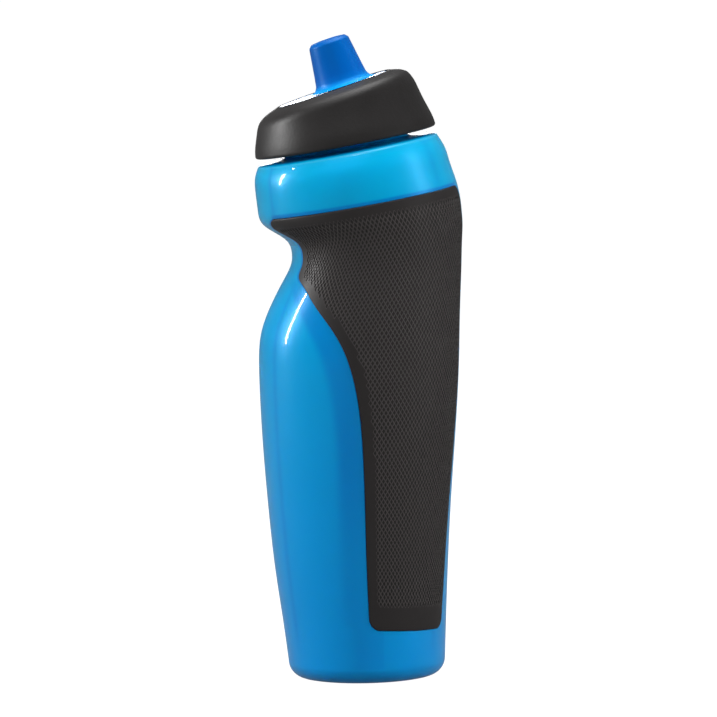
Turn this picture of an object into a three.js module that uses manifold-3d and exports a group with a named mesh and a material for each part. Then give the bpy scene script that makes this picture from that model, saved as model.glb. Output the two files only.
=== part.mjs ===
// A sports squeeze bottle: a soft blue bottle with two textured side grips, and a screw cap whose
// push-pull spout slides on a post. Millimetres, +Z up, the finger notch at the front faces -X.
import * as THREE from "three";
import { mergeVertices } from "three/addons/utils/BufferGeometryUtils.js";
import Module from "manifold-3d";

const wasm = await Module();
wasm.setup();
const degrees = Math.PI / 180;

// The bottle's skin: each row is the ring at one height on the axis, with its front and back points
// in side view and its half depth. Above the grips' middle the rings lean with the neck.
const skinRows = [
  // height, front x, front z, back x, back z, half depth
  [6.5, -30.7, 6.5, 28.9, 6.5, 29.8],
  [20.5, -32.3, 20.5, 29.6, 20.5, 31],
  [42, -35, 42, 30.8, 42, 33],
  [64, -36.9, 64, 32.3, 64, 34.7],
  [86, -38.3, 86, 34.2, 86, 36.2],
  [104.5, -39, 104, 35.8, 105, 37.3],
  [120, -39.2, 119, 36.8, 121, 37.9],
  [134, -37.9, 132, 37.4, 136, 37.6],
  [144.8, -34, 142, 38, 147.5, 36.8],
  [153.8, -29.5, 150.5, 38.5, 157, 36],
  [161.5, -26, 157.5, 38.9, 165.5, 35.8],
  [166.2, -25.7, 161.5, 39.2, 171, 36],
  [171.1, -27.5, 166.3, 39, 176, 36.6],
  [175.2, -32.5, 169.8, 38.6, 180.5, 37.4],
  [178.6, -36.5, 172.8, 37.9, 184.5, 37.9],
  [183.5, -38.2, 178, 36.7, 189, 38.1],
  [190.2, -38.9, 185, 34.6, 195.5, 37.8],
  [195.5, -38.9, 190.3, 32.9, 200.8, 36.7],
  [199.8, -37.7, 194.1, 30, 205.6, 34.4],
];
const axisX = -0.9;
const wall = 1.4;
const base = { corner: 6, flatOut: 23.8, flatIn: 20, pushUp: 3 };

// The neck stands square on the leaning shoulder; cap sizes are measured along this axis.
const neck = { x: -3.9, z: 200.4, tilt: 9.5, outer: 23.2, bore: 21.4, top: 14.4 };
const thread = { lead: 5, crest: 24.4, root: 2.1, tip: 0.8, first: 5, turns: 1.5 };

// Grip panels: their front edge as an angle from the bottle's back, by height.
const grip = {
  bottom: 18.6,
  slant: 4.8,
  top: 180.5,
  out: 0.25,
  under: 0.9,
  gap: 0.3,
  cornerBottom: 4,
  cornerBack: 5,
  cornerTip: 2,
};
const gripFront = [
  [17, 87],
  [45, 87.5],
  [88, 88.5],
  [106, 90.8],
  [118, 94.3],
  [127.4, 99.2],
  [137.4, 109],
  [147.8, 125.4],
  [153.2, 137],
  [156.2, 145.8],
  [160.4, 148],
  [165.5, 147.5],
  [171, 150],
  [174.8, 155],
  [177.6, 156],
  [180.5, 151],
];
const gripBack = [
  [17, 22],
  [60, 15],
  [110, 9],
  [180.5, 8],
];

// Cap: heights on the neck axis. Its top is cut by planes that lean further forward.
const cap = {
  bottom: 2.7,
  wall: 1.6,
  rim: 22,
  rimHeight: 23.9,
  rimShift: -1,
  topShift: -0.7,
  lean: 7.8,
};
// Radius and height of the cap's side on the neck axis, and of its top on the leaning rim axis.
const capSide = [
  [34.7, 2.7],
  [34.3, 5.6],
  [33.1, 9.8],
  [31.9, 13.6],
  [30.6, 18.5],
  [29.8, 21.2],
  [28.5, 23.8],
  [26.6, 25.7],
  [22, 27.5],
];
const capTop = [
  [21.2, 0],
  [23.5, -0.7],
  [26.5, -1.6],
  [29.2, -2.8],
  [31.4, -4.2],
  [33.4, -6.2],
  [35, -9.1],
  [36.4, -14],
  [36.6, -40],
];
const core = {
  skirtOuter: 26,
  skirtInner: 24.8,
  bottom: 4.5,
  crest: 23.7,
  flangeLow: 15.8,
  flangeHigh: 17,
  flangeHole: 14,
  towerInner: 17.6,
  towerOuter: 19.4,
  dish: 21.6,
  dishUnder: 3,
  ribs: 12,
  ribWidth: 1.2,
};
const gasket = { inner: 21.5, outer: 24.2, low: 14.6, high: 15.6 };

// Spout pieces: heights on the spout's own axis, from the plane of the cap's top edge.
const spout = { x: 3.1, hole: 2.9, closedPin: 17.5 };
const post = {
  tower: 4.8,
  bore: 3.6,
  bead: 5.3,
  groove: 4.3,
  flange: 8.5,
  flangeLow: -4.5,
  flangeHigh: -3.3,
  top: 13,
  pin: 2.6,
};
const slider = { bore: 5.5, lip: 5, outer: 6.4, foot: 8.1, low: 1, high: 16.4 };
const sleeve = { gap: 0.15, tipRadius: 7.8, tipHeight: 16.5, taper: 0.145, top: 18.1 };

// Reads a table whose first column rises, with smooth curves between its rows.
function readRow(rows, height) {
  const last = rows.length - 1;
  let i = 0;
  while (i < last - 1 && height > rows[i + 1][0]) i += 1;
  const step = rows[i + 1][0] - rows[i][0];
  const t = Math.min(1, Math.max(0, (height - rows[i][0]) / step));
  const slope = (k, column) => {
    const before = rows[Math.max(k - 1, 0)];
    const after = rows[Math.min(k + 1, last)];
    return (after[column] - before[column]) / (after[0] - before[0]);
  };
  return rows[i].slice(1).map((value, index) => {
    const column = index + 1;
    const next = rows[i + 1][column];
    return (
      value * (2 * t ** 3 - 3 * t ** 2 + 1) +
      next * (3 * t ** 2 - 2 * t ** 3) +
      step * slope(i, column) * (t ** 3 - 2 * t ** 2 + t) +
      step * slope(i + 1, column) * (t ** 3 - t ** 2)
    );
  });
}

// A point on the skin; the angle runs from the back (+X) round the far side (+Y).
function skinPoint(height, angle) {
  const [frontX, frontZ, backX, backZ, depth] = readRow(skinRows, height);
  const centreX = (0.5 * (frontX + backX) + axisX) / 2;
  const lean = (backZ - frontZ) / (backX - frontX);
  const cosine = Math.cos(angle);
  const uneven = (frontX + backX) / 2 - centreX;
  const reach = (backX - frontX) / 2 + uneven * cosine * (1.5 - 0.5 * cosine ** 2);
  const x = centreX + reach * cosine;
  return new THREE.Vector3(x, depth * Math.sin(angle), frontZ + (x - frontX) * lean);
}

function skinNormal(height, angle) {
  const around = skinPoint(height, angle + 0.01).sub(skinPoint(height, angle - 0.01));
  const up = skinPoint(height + 0.3, angle).sub(skinPoint(height - 0.3, angle));
  return around.cross(up).normalize();
}

function offSkin(height, angle, distance) {
  const point = skinPoint(height, angle);
  return point.addScaledVector(skinNormal(height, angle), distance);
}

function meshFrom(points, triangles) {
  const geometry = new THREE.BufferGeometry().setFromPoints(points);
  geometry.setIndex(triangles);
  return geometry;
}

// Joins rings of equal length, closed at both ends by a centre point.
function loft(rings, firstCentre, lastCentre) {
  const count = rings[0].length;
  const points = [...rings.flat(), firstCentre, lastCentre];
  const first = rings.length * count;
  const last = first + 1;
  const triangles = [];
  for (let i = 0; i < count; i += 1) {
    const next = (i + 1) % count;
    triangles.push(first, next, i);
    triangles.push(last, first - count + i, first - count + next);
    for (let row = 0; row < rings.length - 1; row += 1) {
      const low = row * count;
      const high = low + count;
      triangles.push(low + i, low + next, high + next);
      triangles.push(low + i, high + next, high + i);
    }
  }
  return meshFrom(points, triangles);
}

// A closed slab: grid(row, column, face) gives the points of its two faces.
function slab(rows, columns, grid) {
  const points = [];
  const triangles = [];
  for (const face of [0, 1])
    for (let row = 0; row < rows; row += 1)
      for (let column = 0; column < columns; column += 1)
        points.push(grid(row, column, face));
  const at = (row, column, face) => (face * rows + row) * columns + column;
  const quad = (a, b, c, d) => triangles.push(a, b, c, a, c, d);
  for (let row = 0; row < rows - 1; row += 1)
    for (let column = 0; column < columns - 1; column += 1)
      for (const face of [0, 1]) {
        const corners = [
          at(row, column, face),
          at(row, column + 1, face),
          at(row + 1, column + 1, face),
          at(row + 1, column, face),
        ];
        quad(...(face ? corners : corners.reverse()));
      }
  const edge = [];
  for (let column = 0; column < columns - 1; column += 1) edge.push([0, column]);
  for (let row = 0; row < rows - 1; row += 1) edge.push([row, columns - 1]);
  for (let column = columns - 1; column > 0; column -= 1) edge.push([rows - 1, column]);
  for (let row = rows - 1; row > 0; row -= 1) edge.push([row, 0]);
  edge.forEach((here, i) => {
    const next = edge[(i + 1) % edge.length];
    quad(at(...here, 0), at(...next, 0), at(...next, 1), at(...here, 1));
  });
  return meshFrom(points, triangles);
}

// A closed profile of [radius, height] points, turned about Z.
function lathe(profile, segments) {
  const closed = [...profile, profile[0]].map(([r, z]) => new THREE.Vector2(r, z));
  return new THREE.LatheGeometry(closed, segments).rotateX(Math.PI / 2);
}

function ring(inner, outer, low, high, segments) {
  return lathe([[inner, low], [outer, low], [outer, high], [inner, high]], segments);
}

function disc(radius, low, high, segments) {
  return new THREE.CylinderGeometry(radius, radius, high - low, segments)
    .rotateX(Math.PI / 2)
    .translate(0, 0, (low + high) / 2);
}

function solidOf(geometry) {
  const bare = geometry.clone();
  bare.deleteAttribute("normal");
  bare.deleteAttribute("uv");
  const merged = mergeVertices(bare, 1e-4);
  const index = new Uint32Array(merged.index.array);
  const make = () =>
    new wasm.Manifold(
      new wasm.Mesh({
        numProp: 3,
        vertProperties: merged.attributes.position.array,
        triVerts: index,
      }),
    );
  const solid = make();
  if (solid.volume() > 0) return solid;
  for (let i = 0; i < index.length; i += 3)
    [index[i + 1], index[i + 2]] = [index[i + 2], index[i + 1]];
  return make();
}

function geometryOf(solid) {
  const { vertProperties, triVerts, numProp } = solid.getMesh();
  const points = [];
  for (let i = 0; i < vertProperties.length; i += numProp)
    points.push(new THREE.Vector3(...vertProperties.slice(i, i + 3)));
  const geometry = meshFrom(points, Array.from(triVerts)).toNonIndexed();
  geometry.computeVertexNormals();
  return geometry;
}

function join(first, ...others) {
  return others.reduce((sum, other) => sum.add(solidOf(other)), solidOf(first));
}

function leanMatrix(x, z, tilt) {
  return new THREE.Matrix4().makeRotationY(-tilt * degrees).setPosition(x, 0, z);
}

const neckFrame = leanMatrix(neck.x, neck.z, neck.tilt);
const rimFrame = leanMatrix(0, cap.rimHeight, cap.lean);

function ringAt(pointAt, columns) {
  const turn = (column) => (column / columns) * 2 * Math.PI;
  return Array.from({ length: columns }, (_, column) => pointAt(turn(column)));
}

// The bottle's shape, moved in from its skin by inset, as rings from the base to the shoulder.
function bottleShape(inset, columns, fine) {
  const lowest = skinRows[0][0];
  const highest = skinRows[skinRows.length - 1][0];
  const rings = [];
  const baseCentre = new THREE.Vector3(axisX, 0, base.pushUp + inset);
  const baseRing = (radius, z) =>
    ringAt((a) => new THREE.Vector3(axisX + radius * Math.cos(a), radius * Math.sin(a), z), columns);
  rings.push(baseRing(base.flatIn / 2, 0.8 * base.pushUp + inset));
  rings.push(baseRing(base.flatIn - 1.5, 0.25 * base.pushUp + inset));
  rings.push(baseRing(base.flatIn, inset));
  rings.push(baseRing(base.flatOut - inset / 2, inset));
  for (const bend of [65, 42, 20]) {
    const pull = base.corner * (1 - Math.cos(bend * degrees));
    const z = lowest - (lowest - inset) * Math.sin(bend * degrees);
    rings.push(
      ringAt((a) => {
        const point = offSkin(lowest, a, -inset);
        const share = 1 - pull / Math.hypot(point.x - axisX, point.y);
        return new THREE.Vector3(axisX + (point.x - axisX) * share, point.y * share, z);
      }, columns),
    );
  }
  const heights = skinRows.slice(0, -1).flatMap(([low], i) => {
    const high = skinRows[i + 1][0];
    const parts = fine && high - low < 12 ? 2 : 1;
    return Array.from({ length: parts }, (_, k) => low + ((high - low) * k) / parts);
  });
  heights.push(highest - 1.2 * inset);
  for (const height of heights) rings.push(ringAt((a) => offSkin(height, a, -inset), columns));
  const shoulder = [
    [0.5, -0.15],
    [1.3, 0.12],
    [2.6, 0.3],
    [8, 0.6],
    [15, 0.9],
  ];
  const rim = rings[rings.length - 1];
  for (const [pull, rise] of shoulder)
    rings.push(
      rim.map((point) => {
        const local = point.clone().applyMatrix4(neckFrame.clone().invert());
        const share = 1 - pull / Math.hypot(local.x, local.y);
        return new THREE.Vector3(local.x * share, local.y * share, rise - inset).applyMatrix4(
          neckFrame,
        );
      }),
    );
  const topCentre = new THREE.Vector3(0, 0, 1 - inset).applyMatrix4(neckFrame);
  return loft(rings, baseCentre, topCentre);
}

// A helical ridge between two radii, right-handed, fading in and out at its ends.
function ridge(rootRadius, crestRadius, first, startAngle, turns) {
  const stepsPerTurn = 32;
  const steps = Math.round(turns * stepsPerTurn);
  const rings = [];
  for (let step = 0; step <= steps; step += 1) {
    const angle = startAngle + (step / stepsPerTurn) * 2 * Math.PI;
    const z = first + (step / stepsPerTurn) * thread.lead;
    const fade = Math.min(1, (Math.min(step, steps - step) + 1) / 4);
    const crest = rootRadius + (crestRadius - rootRadius) * (0.25 + 0.75 * fade);
    const at = (r, dz) => new THREE.Vector3(r * Math.cos(angle), r * Math.sin(angle), z + dz);
    rings.push([
      at(rootRadius, -thread.root / 2),
      at(crest, -thread.tip / 2),
      at(crest, thread.tip / 2),
      at(rootRadius, thread.root / 2),
    ]);
  }
  const middle = (ringPoints) =>
    ringPoints.reduce((sum, p) => sum.add(p), new THREE.Vector3()).divideScalar(4);
  return loft(rings, middle(rings[0]), middle(rings[rings.length - 1]));
}

// How far a rounded corner draws an edge in, at a distance from the panel's end.
function cornerInset(radius, distance) {
  if (distance >= radius) return 0;
  return radius - Math.sqrt(radius ** 2 - (radius - distance) ** 2);
}

// The grips' lower edges rise towards the front of the bottle.
function slantedHeight(height, angle) {
  const t = Math.min(1, Math.max(0, (height - 24) / 60));
  const fade = 1 - t ** 2 * (3 - 2 * t);
  return height + (grip.slant * fade * (1 - Math.cos(angle))) / 2;
}

// One grip's area of the skin, grown by margin, as a slab between two distances from the skin.
function gripSlab(side, margin, under, out, steps = 10) {
  const low = grip.bottom - margin;
  const high = grip.top + margin;
  const near = [0, 0.3, 1.2, 2.6, 4.5];
  const lower = [34, 48, 62, 76, 100, 116, 128, 137];
  const upper = [144, 149.5, 153, 156, 159, 162.5, 167, 171, 173.7];
  const heights = [
    ...near.map((d) => low + d),
    ...lower,
    ...upper,
    ...near.map((d) => high - d).reverse(),
  ];
  const angleAt = (row, column) => {
    const height = heights[row];
    const [front] = readRow(gripFront, height);
    const [back] = readRow(gripBack, height);
    const [, , , , depth] = readRow(skinRows, height);
    const turn = (length) => length / depth;
    const up = height - low;
    const down = high - height;
    const frontCut =
      cornerInset(grip.cornerBottom + margin, up) + cornerInset(grip.cornerTip + margin, down);
    const backCut =
      cornerInset(grip.cornerBottom + margin, up) + cornerInset(grip.cornerBack + margin, down);
    const from = back * degrees + turn(backCut - margin);
    const to = front * degrees - turn(frontCut - margin);
    return from + ((to - from) * column) / steps;
  };
  return slab(heights.length, steps + 1, (row, column, face) => {
    const angle = angleAt(row, column);
    return offSkin(slantedHeight(heights[row], angle), side * angle, face ? out : -under);
  });
}

function bottleBody() {
  const recess = grip.under + grip.gap;
  const outline = [
    [neck.outer + 1.4, -1],
    [neck.outer + 1.4, 1],
    [neck.outer, 2.2],
    [neck.outer, neck.top - 0.6],
    [neck.outer - 0.6, neck.top],
    [0, neck.top],
    [0, -1],
  ];
  const neckTube = lathe(outline, 40).applyMatrix4(neckFrame);
  const neckThread = ridge(neck.outer - 0.3, thread.crest, thread.first, 0, thread.turns);
  const bore = disc(neck.bore, -8, neck.top + 5, 40).applyMatrix4(neckFrame);
  let hollow = solidOf(bottleShape(wall, 28, false));
  for (const side of [-1, 1])
    hollow = hollow.subtract(solidOf(gripSlab(side, grip.gap + 1, recess + wall, 4, 8)));
  hollow = hollow.add(solidOf(bore));
  let body = join(bottleShape(0, 40, true), neckTube, neckThread.applyMatrix4(neckFrame));
  for (const side of [-1, 1])
    body = body.subtract(solidOf(gripSlab(side, grip.gap, recess, 3)));
  return geometryOf(body.subtract(hollow));
}

// Moves an outline of [radius, height] points in by a distance, square to itself.
function insetOutline(outline, inset) {
  return outline.map(([r, z], i) => {
    const [r0, z0] = outline[Math.max(i - 1, 0)];
    const [r1, z1] = outline[Math.min(i + 1, outline.length - 1)];
    const length = Math.hypot(r1 - r0, z1 - z0);
    return [r - (inset * Math.abs(z1 - z0)) / length, z - (inset * Math.abs(r1 - r0)) / length];
  });
}

// The cap's outer shape moved in by inset: a side turned about the neck axis, cut by a leaning top.
function capShape(inset) {
  const side = insetOutline(capSide, inset);
  const floor = inset ? cap.bottom - 2 : cap.bottom;
  const [, peak] = side[side.length - 1];
  const turned = lathe([[0, floor], [side[0][0], floor], ...side, [0, peak + 1]], 44);
  const top = insetOutline(capTop, inset);
  const cutter = lathe([[0, -40], ...top.reverse(), [0, -inset]], 44)
    .translate(cap.topShift, 0, 0)
    .applyMatrix4(rimFrame);
  return solidOf(turned).intersect(solidOf(cutter));
}

function capShell() {
  const opening = disc(cap.rim, -12, 12, 44).translate(cap.rimShift, 0, 0).applyMatrix4(rimFrame);
  return geometryOf(capShape(0).subtract(capShape(cap.wall)).subtract(solidOf(opening)));
}

// The blue core: threaded skirt, seal flange, riser and the leaning dish the spout stands in.
function capCore() {
  const skirt = lathe(
    [
      [core.skirtInner, core.bottom],
      [core.skirtOuter, core.bottom],
      [core.skirtOuter, core.flangeLow - 0.3],
      [core.skirtOuter - 1.5, core.flangeHigh],
      [core.flangeHole, core.flangeHigh],
      [core.flangeHole, core.flangeLow],
      [core.skirtInner, core.flangeLow],
    ],
    40,
  );
  const coreThread = ridge(core.skirtInner + 0.3, core.crest, thread.first, Math.PI, 1.1);
  const riser = solidOf(ring(core.towerInner, core.towerOuter, core.flangeLow, 40, 40));
  const below = disc(40, -30, -core.dishUnder + 0.5, 40).applyMatrix4(rimFrame);
  const dish = lathe(
    [
      [0, -core.dishUnder],
      [core.dish, -core.dishUnder],
      [core.dish, -0.5],
      [core.dish - 0.5, -0.45],
      [13.5, -0.7],
      [0, -0.7],
    ],
    40,
  )
    .translate(cap.rimShift, 0, 0)
    .applyMatrix4(rimFrame);
  const postHole = disc(post.tower + 0.3, -12, 5, 24).translate(spout.x, 0, 0).applyMatrix4(rimFrame);
  let solid = join(skirt, coreThread).add(riser.intersect(solidOf(below))).add(solidOf(dish));
  const room = capShape(cap.wall + 0.3);
  for (let i = 0; i < core.ribs; i += 1) {
    const long = 8;
    const rib = new THREE.BoxGeometry(long, core.ribWidth, core.flangeHigh - core.bottom)
      .translate(core.skirtOuter - 0.5 + long / 2, 0, (core.flangeHigh + core.bottom) / 2)
      .rotateZ(((i + 0.5) / core.ribs) * 2 * Math.PI);
    solid = solid.add(solidOf(rib).intersect(room));
  }
  return geometryOf(solid.subtract(solidOf(postHole)));
}

function capGasket() {
  return geometryOf(solidOf(ring(gasket.inner, gasket.outer, gasket.low, gasket.high, 40)));
}

// The post stands through the dish; spider ribs carry the pin that closes the spout's hole.
function nozzlePost() {
  const tower = lathe(
    [
      [post.bore, post.flangeLow],
      [post.flange, post.flangeLow],
      [post.flange, post.flangeHigh],
      [post.tower, post.flangeHigh],
      [post.tower, 8.4],
      [post.bead, 8.8],
      [post.bead, 9.6],
      [post.groove, 9.6],
      [post.groove, 11.2],
      [post.tower + 0.2, 11.2],
      [post.tower + 0.2, 12.2],
      [post.tower - 0.4, post.top],
      [post.bore, post.top],
    ],
    28,
  );
  const pin = lathe(
    [
      [0, 8],
      [1.4, 9],
      [1.4, post.top],
      [post.pin, post.top + 1.2],
      [post.pin, spout.closedPin - 0.4],
      [post.pin - 0.4, spout.closedPin],
      [0, spout.closedPin],
    ],
    24,
  );
  let solid = join(tower, pin);
  for (let i = 0; i < 3; i += 1) {
    const rib = new THREE.BoxGeometry(post.bore + 0.4, 1, 3)
      .translate((post.bore + 0.4) / 2, 0, 11)
      .rotateZ((i / 3) * 2 * Math.PI);
    solid = solid.add(solidOf(rib));
  }
  return geometryOf(solid);
}

function postRing() {
  const section = 0.5;
  const middle = slider.bore - 0.1 - section;
  return geometryOf(
    solidOf(new THREE.TorusGeometry(middle, section, 8, 28).translate(0, 0, 10.4)),
  );
}

function spoutSlider() {
  const profile = [
    [slider.lip, slider.low],
    [slider.foot, slider.low],
    [slider.foot, slider.low + 1.1],
    [slider.outer, slider.low + 1.1],
    [slider.outer, slider.high],
    [spout.hole, slider.high],
    [spout.hole, slider.high - 1.2],
    [slider.bore, slider.high - 1.2],
    [slider.bore, slider.low + 1.4],
    [slider.lip, slider.low + 1.4],
  ];
  return geometryOf(solidOf(lathe(profile, 32)));
}

function spoutSleeve() {
  const radiusAt = (z) => sleeve.tipRadius + (sleeve.tipHeight - z) * sleeve.taper;
  const inner = slider.outer + sleeve.gap;
  const seat = slider.high + sleeve.gap;
  const profile = [
    [slider.foot + 0.3, -0.35],
    [13.3, -0.35],
    [10.9, 0.4],
    [radiusAt(2), 2],
    [radiusAt(6), 6],
    [radiusAt(12), 12],
    [radiusAt(sleeve.tipHeight), sleeve.tipHeight],
    [sleeve.tipRadius - 0.35, 17.3],
    [sleeve.tipRadius - 1.4, 17.75],
    [spout.hole + 1, sleeve.top],
    [spout.hole, sleeve.top - 0.1],
    [spout.hole, seat],
    [inner, seat],
    [inner, slider.low + 1.4],
    [slider.foot + 0.3, slider.low + 1.4],
  ];
  return geometryOf(solidOf(lathe(profile, 40)));
}

const finish = {
  bottle: { color: "#0192cf", roughness: 0.25 },
  grip: { color: "#3a3636", roughness: 0.7 },
  shell: { color: "#383535", roughness: 0.5 },
  core: { color: "#0aa0e0", roughness: 0.25 },
  seal: { color: "#d8dadb", roughness: 0.7 },
  post: { color: "#e6e8ea", roughness: 0.35 },
  slider: { color: "#e2e5e8", roughness: 0.35 },
  sleeve: { color: "#0360bc", roughness: 0.4 },
};

function piece(parent, name, geometry, look) {
  const material = new THREE.MeshStandardMaterial({ metalness: 0, ...look });
  const mesh = new THREE.Mesh(geometry, material);
  mesh.name = name;
  parent.add(mesh);
}

const bottle = new THREE.Group();
const neckGroup = new THREE.Group();
neckGroup.position.set(neck.x, 0, neck.z);
neckGroup.rotation.y = -neck.tilt * degrees;
const rimGroup = new THREE.Group();
rimGroup.position.z = cap.rimHeight;
rimGroup.rotation.y = -cap.lean * degrees;
const spoutGroup = new THREE.Group();
spoutGroup.position.x = spout.x;
bottle.add(neckGroup);
neckGroup.add(rimGroup);
rimGroup.add(spoutGroup);

piece(bottle, "bottle_body", bottleBody(), finish.bottle);
for (const [name, side] of [["grip_panel_left", -1], ["grip_panel_right", 1]]) {
  const panel = solidOf(gripSlab(side, 0, grip.under, grip.out));
  piece(bottle, name, geometryOf(panel), finish.grip);
}
piece(neckGroup, "cap_shell", capShell(), finish.shell);
piece(neckGroup, "cap_core", capCore(), finish.core);
piece(neckGroup, "cap_gasket", capGasket(), finish.seal);
piece(spoutGroup, "nozzle_post", nozzlePost(), finish.post);
piece(spoutGroup, "post_o_ring", postRing(), finish.seal);
piece(spoutGroup, "spout_slider", spoutSlider(), finish.slider);
piece(spoutGroup, "spout_sleeve", spoutSleeve(), finish.sleeve);

export default bottle;
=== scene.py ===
# Sports squeeze bottle: the looks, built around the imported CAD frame. Sizes below are in
# millimetres and become metres when a mesh is made. The notch faces -X, the left grip -Y.
import math

import bpy
import bmesh
import numpy as np
from mathutils import Matrix, Vector
from mathutils.geometry import delaunay_2d_cdt


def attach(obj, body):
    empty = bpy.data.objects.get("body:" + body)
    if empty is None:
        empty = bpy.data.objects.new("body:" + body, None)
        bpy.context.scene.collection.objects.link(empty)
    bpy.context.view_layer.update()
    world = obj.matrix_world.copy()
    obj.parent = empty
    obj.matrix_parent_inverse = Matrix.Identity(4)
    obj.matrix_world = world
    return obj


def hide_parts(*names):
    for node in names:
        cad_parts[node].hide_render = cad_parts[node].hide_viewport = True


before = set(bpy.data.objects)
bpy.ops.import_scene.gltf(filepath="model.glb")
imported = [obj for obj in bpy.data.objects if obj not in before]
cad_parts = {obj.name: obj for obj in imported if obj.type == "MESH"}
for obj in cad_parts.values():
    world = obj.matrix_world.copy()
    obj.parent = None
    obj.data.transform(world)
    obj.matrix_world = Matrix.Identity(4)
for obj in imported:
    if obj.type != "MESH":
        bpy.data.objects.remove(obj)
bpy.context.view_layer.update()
mm = 0.001
print("frame loaded:", len(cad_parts), "nodes")


# Node helpers.
def feed(tree, socket, value):  # links another socket, or sets a plain value
    if isinstance(value, bpy.types.NodeSocket):
        tree.links.new(value, socket)
    else:
        socket.default_value = value


def addNode(tree, kind, settings=None, **inputs):
    node = tree.nodes.new(kind)
    for key, value in (settings or {}).items():
        setattr(node, key, value)
    for key, value in inputs.items():
        feed(tree, node.inputs[key.replace("_", " ")], value)
    return node


def mathNode(tree, operation, *values):
    node = addNode(tree, "ShaderNodeMath", {"operation": operation})
    for socket, value in zip(node.inputs, values):
        feed(tree, socket, value)
    return node.outputs[0]


def mapRange(tree, value, fromMin, fromMax, toMin, toMax):
    node = addNode(
        tree, "ShaderNodeMapRange", Value=value,
        From_Min=fromMin, From_Max=fromMax, To_Min=toMin, To_Max=toMax,
    )
    return node.outputs["Result"]


def newMaterial(name):
    material = bpy.data.materials.new(name)
    material.use_nodes = True
    return material, material.node_tree


def setShader(tree, **inputs):
    shader = tree.nodes["Principled BSDF"]
    for key, value in inputs.items():
        feed(tree, shader.inputs[key.replace("_", " ")], value)


# Camera and light.
cameraSetup = {
    "place": (-0.001, -2.2, 0.314),
    "aim": (-0.00139, 0, 0.1208),
    "roll": 1.35,  # degrees, the whole view is turned a little
    "lens": 292.4,
}


def makeCamera():
    data = bpy.data.cameras.new("camera")
    data.lens = cameraSetup["lens"]
    data.sensor_width = 36
    data.clip_end = 20
    camera = bpy.data.objects.new("camera", data)
    bpy.context.scene.collection.objects.link(camera)
    place = Vector(cameraSetup["place"])
    look = (Vector(cameraSetup["aim"]) - place).to_track_quat("-Z", "Y")
    turn = Matrix.Rotation(math.radians(-cameraSetup["roll"]), 4, "Z")
    camera.matrix_world = Matrix.Translation(place) @ look.to_matrix().to_4x4() @ turn
    bpy.context.scene.camera = camera


studio = {
    "floorColour": (0.08, 0.08, 0.08),
    "floorGlow": (0.15, 1.0),  # what the floor sends to the bottle, and to the camera
    "roomGlow": (0.15, 1.0),  # the same for the room's walls
    # azimuth from the camera (left is negative), elevation, distance, width, height, power,
    # and whether it shows as a reflection
    "softboxes": {
        "leftStrip": (-95, 14, 1.3, 0.07, 0.5, 14, True),
        "shoulderLight": (-90, 35, 1.3, 0.08, 0.04, 0.6, True),
        "backLight": (181.5, 5.6, 1.5, 0.3, 0.12, 1.1, True),
        "ridgeStrip": (-2, 66, 1.4, 0.45, 0.08, 4, True),
        "sparkLight": (66, 4.5, 1.3, 0.05, 0.05, 0.9, True),
        "rightSoftbox": (82, 16, 1.3, 0.3, 1.1, 22, False),
        "frontSoftbox": (-25, 50, 1.8, 1.2, 1.2, 33, False),
        "fillSoftbox": (-15, 0, 2.0, 1.6, 1.6, 20, False),
        "topSoftbox": (180, 80, 1.3, 1.0, 1.0, 18, True),
    },
}


def glow(tree, levels):  # one strength for what lights the bottle, one for the picture
    seen = addNode(tree, "ShaderNodeLightPath").outputs["Is Camera Ray"]
    return mapRange(tree, seen, 0, 1, *levels)


def makeStudio():
    world = bpy.data.worlds.new("studioWorld")
    bpy.context.scene.world = world
    world.use_nodes = True
    tree = world.node_tree
    background = tree.nodes["Background"]
    background.inputs["Color"].default_value = (1, 1, 1, 1)
    feed(tree, background.inputs["Strength"], glow(tree, studio["roomGlow"]))
    bpy.context.scene.view_settings.view_transform = "Standard"
    for name, setup in studio["softboxes"].items():
        azimuth, elevation, away, width, height, power, reflected = setup
        light = bpy.data.lights.new(name, "AREA")
        light.shape = "RECTANGLE"
        light.size = width
        light.size_y = height
        light.energy = power
        holder = bpy.data.objects.new(name, light)
        holder.visible_glossy = reflected
        holder.visible_camera = False
        bpy.context.scene.collection.objects.link(holder)
        turn, up = math.radians(azimuth), math.radians(elevation)
        aim = Vector((0, 0, 0.13))
        way = Vector((math.sin(turn) * math.cos(up), -math.cos(turn) * math.cos(up), math.sin(up)))
        look = (-way).to_track_quat("-Z", "Y")
        holder.matrix_world = Matrix.Translation(aim + way * away) @ look.to_matrix().to_4x4()
    bpy.ops.mesh.primitive_plane_add(size=30)
    floor = bpy.context.object
    floor.name = "floor"
    material, tree = newMaterial("floorPaper")
    setShader(
        tree,
        Base_Color=(*studio["floorColour"], 1),
        Roughness=0.9,
        Specular_IOR_Level=0,
        Emission_Color=(1, 1, 1, 1),
        Emission_Strength=glow(tree, studio["floorGlow"]),
    )
    floor.data.materials.append(material)


makeCamera()
makeStudio()
print("camera and studio ready")


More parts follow.
